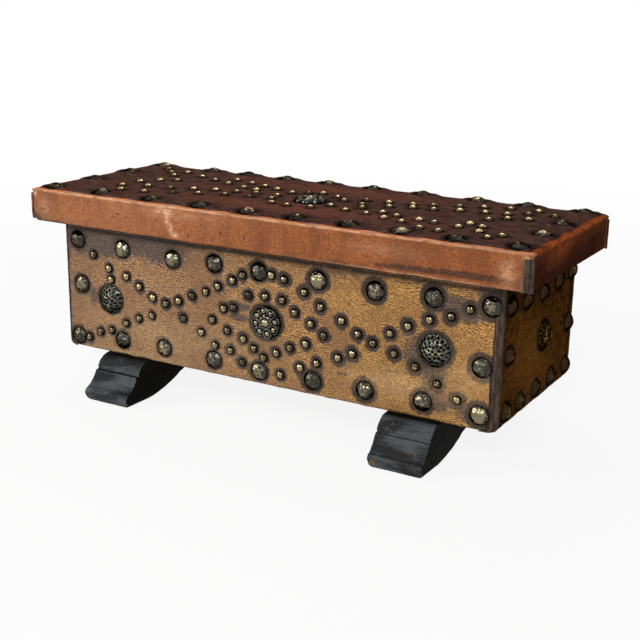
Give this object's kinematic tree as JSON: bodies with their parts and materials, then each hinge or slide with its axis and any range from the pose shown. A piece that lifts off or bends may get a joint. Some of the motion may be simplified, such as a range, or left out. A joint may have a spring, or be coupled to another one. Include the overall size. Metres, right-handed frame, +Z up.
{
  "type": "jewelry box",
  "caption": "Leather-covered wooden jewelry box on runner feet, with a hinged lid and domed brass nails set in patterns.",
  "frame": {"origin": "on the ground, under the middle of the box", "axes": "+X to the right along the length, -Y out of the front, +Z up"},
  "size_m": [0.3616, 0.1744, 0.1441],
  "materials": {
    "case_leather": "worn golden tan hide with a wrinkled grain and dark stains round the nails",
    "end_leather": "dark brown polished hide",
    "lid_leather": "dark purplish brown hide, reddish in the middle",
    "band_leather": "orange brown hide, bright along the worn arris",
    "strip_leather": "blackened rough edge leather",
    "case_wood": "plain aged softwood",
    "foot_wood": "black stained wood, worn brown on its edges",
    "lining_fabric": "faded dark red velvet",
    "nail_brass": "hammered and tarnished",
    "hinge_brass": "dull aged brass",
    "fixing_steel": "dull steel"
  },
  "bodies": {
    "box": {"back_board": "case_wood", "back_leather": "case_leather", "back_lining": "lining_fabric", "back_nails": "nail_brass", "body_hinge_screws": "fixing_steel", "bottom_board": "case_wood", "case_brads": "fixing_steel", "case_strip_back_left": "strip_leather", "case_strip_back_right": "strip_leather", "case_strip_front_left": "strip_leather", "case_strip_front_right": "strip_leather", "floor_lining": "lining_fabric", "foot_runner_left": "foot_wood", "foot_runner_right": "foot_wood", "foot_screws": "fixing_steel", "front_board": "case_wood", "front_boss_left": "nail_brass", "front_boss_right": "nail_brass", "front_large_nails": "nail_brass", "front_leather": "case_leather", "front_lining": "lining_fabric", "front_rosette": "nail_brass", "front_small_nails": "nail_brass", "left_board": "case_wood", "left_end_boss": "nail_brass", "left_end_nails": "nail_brass", "left_hinge_body_leaf": "hinge_brass", "left_hinge_pin": "fixing_steel", "left_leather": "end_leather", "left_lining": "lining_fabric", "right_board": "case_wood", "right_end_boss": "nail_brass", "right_end_nails": "nail_brass", "right_hinge_body_leaf": "hinge_brass", "right_hinge_pin": "fixing_steel", "right_leather": "end_leather", "right_lining": "lining_fabric"},
    "lid": {"left_hinge_lid_leaf": "hinge_brass", "lid_back_band": "band_leather", "lid_front_band": "band_leather", "lid_hinge_screws": "fixing_steel", "lid_large_nails": "nail_brass", "lid_left_band": "band_leather", "lid_lining": "lining_fabric", "lid_plank": "case_wood", "lid_right_band": "band_leather", "lid_rosette": "nail_brass", "lid_small_nails": "nail_brass", "lid_strip_back_left": "strip_leather", "lid_strip_back_right": "strip_leather", "lid_strip_front_left": "strip_leather", "lid_strip_front_right": "strip_leather", "lid_top_leather": "lid_leather", "lid_under_leather": "lid_leather", "right_hinge_lid_leaf": "hinge_brass"}
  },
  "joints": [
    {"name": "lid_hinge", "type": "hinge", "parent": "box", "child": "lid", "pos_m": [0, 0.0648, 0.1172], "axis": [-1, 0, 0], "range_deg": [0, 110]}
  ]
}
